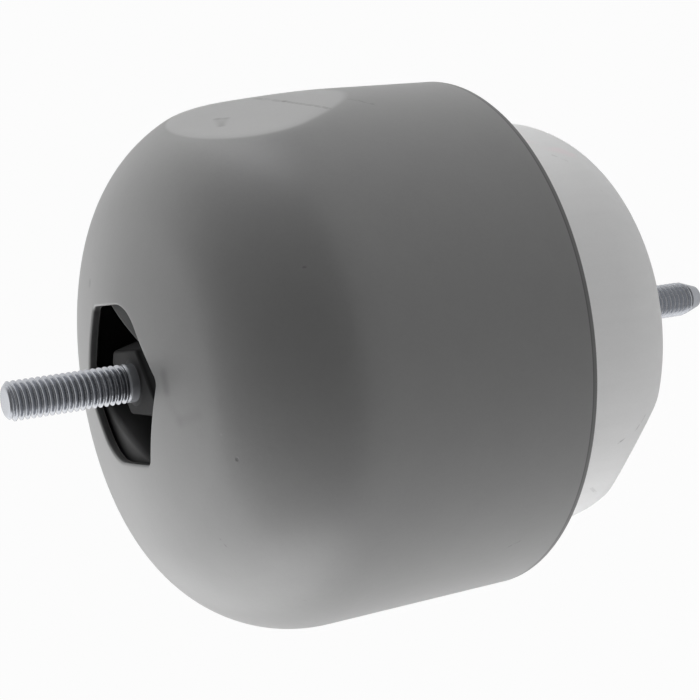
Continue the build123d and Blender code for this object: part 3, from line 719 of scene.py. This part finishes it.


# %% [markdown]
# Bare metal has no grain of its own: what shows is how it was worked. The can's sheet was
# stretched along the axis, so its clouds are stretched too. The casting wears a dark bonding
# coat, and its flanks below the seat are painted paler, as painted light in the shaded hollow.
# The pieces deep inside wear plain finishes: nothing of them is seen.

# %% Finish the can, the studs, the casting and the rubber
CAN_GREY = 0.93
CAN_SCUFFS = (
    ((36.2, 36.3, 24.0), (38.0, 34.6, 22.0), 0.40, 0.18),
    ((44.2, -2.0, 19.6), (44.8, -4.8, 23.6), 0.30, 0.26),
    ((44.0, 0.5, 17.0), (44.6, -2.6, 19.4), 0.25, 0.20),
    ((42.6, -13.2, 26.0), (42.0, -15.4, 22.8), 0.35, 0.16),
    ((41.6, -17.0, 25.5), (40.2, -19.8, 22.5), 0.50, 0.12),
    ((8.0, 44.0, 24.8), (10.5, 43.4, 22.6), 0.45, 0.20),
    ((16.0, 41.6, 21.0), (19.0, 40.0, 19.2), 0.35, 0.18),
)
TINT_START, TINT_END = (1.0, 45.0, 29.0), (8.0, 44.2, 20.0)
TINT_WIDTH, TINT_DEPTH = 2.4, 0.03


def satin_aluminium():
    """Drawn sheet: long faint clouds along the draw, scuffs, and a breath of colour at one place."""
    finish = Finish("satin_aluminium")
    cloud = finish.noise(20.0, 3.0)
    drawn = finish.noise(2.2, 3.0, stretch=(1, 1, 0.12), shift=15.0)
    grain = finish.noise(0.5, 2.0, shift=3.0)
    broken = finish.step(finish.noise(1.2, 2.0, shift=17.0), 0.35, 0.6)
    scuffs = 0.0
    for start, end, width, depth in CAN_SCUFFS:
        scuffs = scuffs + depth * finish.line(start, end, width) * broken
    tint = TINT_DEPTH * finish.line(TINT_START, TINT_END, TINT_WIDTH, 0.0) * finish.step(drawn, 0.35, 0.65)
    tone = CAN_GREY * (0.90 + 0.08 * cloud + 0.05 * drawn + 0.04 * grain) * (1.0 - scuffs)
    finish.colour(tone * (1.0 + tint), tone * (1.0 - tint), tone * (1.0 - 0.5 * tint))
    finish.feed("Metallic", 0.6)
    finish.feed("Roughness", 0.44 + 0.14 * cloud + 0.06 * drawn)
    finish.bump(0.006 * grain + 0.010 * drawn - 0.05 * scuffs)
    return finish


def zinc_plate():
    """Bright plating with a bluish cast. Flush marks the press fit's dull end at the seat, collar the
    short plain length above it, each as the product of two steps of the height over the seat."""
    finish = Finish("zinc_plate")
    cloud = finish.noise(3.0, 2.0)
    above_seat = finish.length_along((0, 0, 1), (0, 0, SEAT_HEIGHT))
    flush = finish.step(above_seat, 0.15, 0.02) * finish.step(above_seat, -2.0, -1.0)
    collar = finish.step(above_seat, 0.05, 0.25) * finish.step(above_seat, 1.9, 1.75)
    tone = (0.92 + 0.12 * cloud) * (1.0 - 0.93 * flush)
    finish.colour(0.50 * tone, 0.515 * tone, 0.55 * tone)
    finish.feed("Metallic", 1.0 - 0.8 * flush - 0.6 * collar)
    finish.feed("Roughness", 0.20 + 0.08 * cloud + 0.4 * flush)
    return finish


def dark_casting():
    """Bonding coat over cast metal, black where the bracket sits; painted light makes the flanks below the
    seat 3.6 times as pale.
    """
    finish = Finish("dark_casting")
    cloud = finish.noise(5.0, 3.0)
    # Painted light: the flanks below the seat are made 3.6 times as pale, for the light that the shaded
    # hollow lacks.
    flank = finish.step(finish.length_along((0, 0, 1), (0, 0, SEAT_HEIGHT)), -0.3, -1.2)
    tone = (0.8 + 0.4 * cloud) * (1.0 + 2.6 * flank)
    finish.colour(0.030 * tone, 0.030 * tone, 0.031 * tone)
    finish.feed("Roughness", 0.6 + 0.2 * cloud)
    finish.feed("Specular IOR Level", 0.3)
    finish.bump(0.03 * finish.noise(0.9, 3.0, shift=4.0))
    return finish


def moulded_rubber():
    """Dull black rubber with the faint unevenness of its mould."""
    finish = Finish("moulded_rubber")
    cloud = finish.noise(8.0, 3.0)
    tone = 0.8 + 0.4 * cloud
    finish.colour(0.060 * tone, 0.060 * tone, 0.061 * tone)
    finish.feed("Roughness", 0.55 + 0.2 * cloud)
    finish.bump(0.02 * finish.noise(0.6, 2.0, shift=7.0))
    return finish


def bare_steel():
    """Cut steel, a little clouded."""
    finish = Finish("bare_steel")
    cloud = finish.noise(6.0, 3.0)
    tone = 0.85 + 0.3 * cloud
    finish.colour(0.40 * tone, 0.40 * tone, 0.41 * tone)
    finish.feed("Metallic", 0.9)
    finish.feed("Roughness", 0.42 + 0.16 * cloud)
    finish.bump(0.01 * finish.noise(0.5, 2.0, shift=6.0))
    return finish


def cast_aluminium():
    """Light die casting with a rough skin."""
    finish = Finish("cast_aluminium")
    cloud = finish.noise(6.0, 3.0)
    tone = 0.85 + 0.2 * cloud
    finish.colour(0.62 * tone, 0.62 * tone, 0.63 * tone)
    finish.feed("Metallic", 0.9)
    finish.feed("Roughness", 0.5 + 0.16 * cloud)
    finish.bump(0.03 * finish.noise(0.8, 3.0, shift=8.0))
    return finish


wear(can, satin_aluminium())
zinc = zinc_plate()
wear(upper, zinc)
wear(lower, zinc)
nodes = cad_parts
rubber, steel, cast = moulded_rubber(), bare_steel(), cast_aluminium()
wear(nodes["core"], dark_casting())
for name in ("stop_pad_1", "stop_pad_2", "main_spring", "decoupler", "bellows"):
    wear(nodes[name], rubber)
for name in ("spring_ring", "bellows_ring", "base_plate"):
    wear(nodes[name], steel)
for name in ("upper_channel_plate", "lower_channel_plate"):
    wear(nodes[name], cast)

# %% [markdown]
# ## Floor and light
# The picture was taken in a light tent: white on all sides, with one opening for the camera.
# That opening is why the bell is darkest where it faces us and pale along its outline. The
# floor is white for the camera alone, because a lit white floor would throw its light back at
# the can. A small share of it still answers to light, so that the mount's shadow shows.

# %% Floor
FLOOR_HEIGHT = -0.036
FLOOR_GLOW, MIRRORED_GLOW = 0.96, 0.5
FLOOR_GREY, FLOOR_HALF_WIDTH = 0.50, 4.0


def make_floor():
    """A wide sheet under the stud's tip. It glows for the camera, and the rest of it takes the shadow."""
    size = FLOOR_HALF_WIDTH
    mesh = bpy.data.meshes.new("floor")
    corners = [(-size, -size, FLOOR_HEIGHT), (size, -size, FLOOR_HEIGHT), (size, size, FLOOR_HEIGHT),
               (-size, size, FLOOR_HEIGHT)]
    mesh.from_pydata(corners, [], [(0, 1, 2, 3)])
    floor = bpy.data.objects.new("floor", mesh)
    bpy.context.scene.collection.objects.link(floor)
    paint = Finish("floor_paint")
    paint.feed("Base Color", (FLOOR_GREY,) * 3)
    paint.feed("Roughness", 0.9)
    path = paint.tree.nodes.new("ShaderNodeLightPath")
    seen = Value(paint, path.outputs["Is Camera Ray"])
    glossy = Value(paint, path.outputs["Is Glossy Ray"])
    through = Value(paint, path.outputs["Is Transmission Ray"])
    glow = paint.node("Emission", None, {"Color": (1.0, 1.0, 1.0, 1.0), "Strength": 1.0})
    share = FLOOR_GLOW * seen.most(through).most(glossy * MIRRORED_GLOW)
    blend = paint.node("MixShader", None, {0: share, 1: Value(paint, paint.shader.outputs[0]), 2: glow})
    paint.tree.links.new(blend.socket, paint.tree.nodes["Material Output"].inputs["Surface"])
    floor.data.materials.append(paint.material)
    print("floor at", round(FLOOR_HEIGHT / MM), "mm, the can's seat at 0")
    return floor


make_floor()

# %% [markdown]
# The tent is a function of direction. Seen from the mount, it is white behind and beside it,
# dark towards the camera, and has a bright panel above the picture and a weaker one below.
# Lamps would do it too, but a world of soft steps has no edges that the coat could mirror.
# Mirrored light is kept below a limit, because the bright panels would burn out the studs.

# %% Light tent
BACK_STRENGTH, FRONT_STRENGTH = 0.70, 0.21
MIRRORED_BACK, MIRRORED_LIMIT = 1.15, 1.6
LOW_PANEL, HIGH_PANEL, CORNER_PANEL = 9.2, 21.0, 1.2
LOW_SETBACK, HIGH_SETBACK, HIGH_SIDESTEP = 0.4, 0.48, 0.1
PANEL_START, PANEL_FULL, SIDE_WIDTH = 0.75, 0.97, 0.45


def make_tent():
    """Strength = front + (back - front) behind + panels, where behind and each panel are smooth
    steps of the cosine between the direction and an axis; mirrored light is kept below a limit."""
    world = bpy.data.worlds.new("tent")
    world.use_nodes = True
    bpy.context.scene.world = world
    tent = Graph(world.node_tree)
    tent.tree.nodes.clear()
    towards = (CAMERA_PLACE - CAMERA_AIM).normalized()
    right = PICTURE_UP.cross(towards).normalized()
    direction = tent.node("TexCoord", output="Generated")

    def share(axis, low, high):
        """Smooth step of the cosine between the direction and an axis."""
        return tent.step(tent.vector("DOT_PRODUCT", direction, tuple(axis), output="Value"), low, high)

    def panel(axis, setback):
        """A soft round panel, set back from the camera."""
        return share((axis - setback * towards).normalized(), PANEL_START, PANEL_FULL)

    behind = 1.0 - share(towards, -SIDE_WIDTH, SIDE_WIDTH)
    high_axis = PICTURE_UP + HIGH_SIDESTEP * right
    panels = (LOW_PANEL * panel(-PICTURE_UP, LOW_SETBACK) + HIGH_PANEL * panel(high_axis, HIGH_SETBACK)
              + CORNER_PANEL * panel((-right - PICTURE_UP).normalized(), LOW_SETBACK))
    strength = FRONT_STRENGTH + (BACK_STRENGTH - FRONT_STRENGTH) * behind + panels
    reflection = (FRONT_STRENGTH + (MIRRORED_BACK - FRONT_STRENGTH) * behind + panels).least(MIRRORED_LIMIT)
    mirrored = tent.node("LightPath", output="Is Glossy Ray")
    strength = strength + mirrored * (reflection - strength)
    lit = tent.node("Background", None, {"Strength": strength})
    seen = tent.node("Background", None, {"Color": (1.0, 1.0, 1.0, 1.0)})
    camera_ray = tent.node("LightPath", output="Is Camera Ray")
    mixed = tent.node("MixShader", None, {0: camera_ray, 1: lit, 2: seen})
    out = tent.tree.nodes.new("ShaderNodeOutputWorld")
    tent.tree.links.new(mixed.socket, out.inputs["Surface"])
    print("tent of", len(tent.tree.nodes), "nodes")


make_tent()
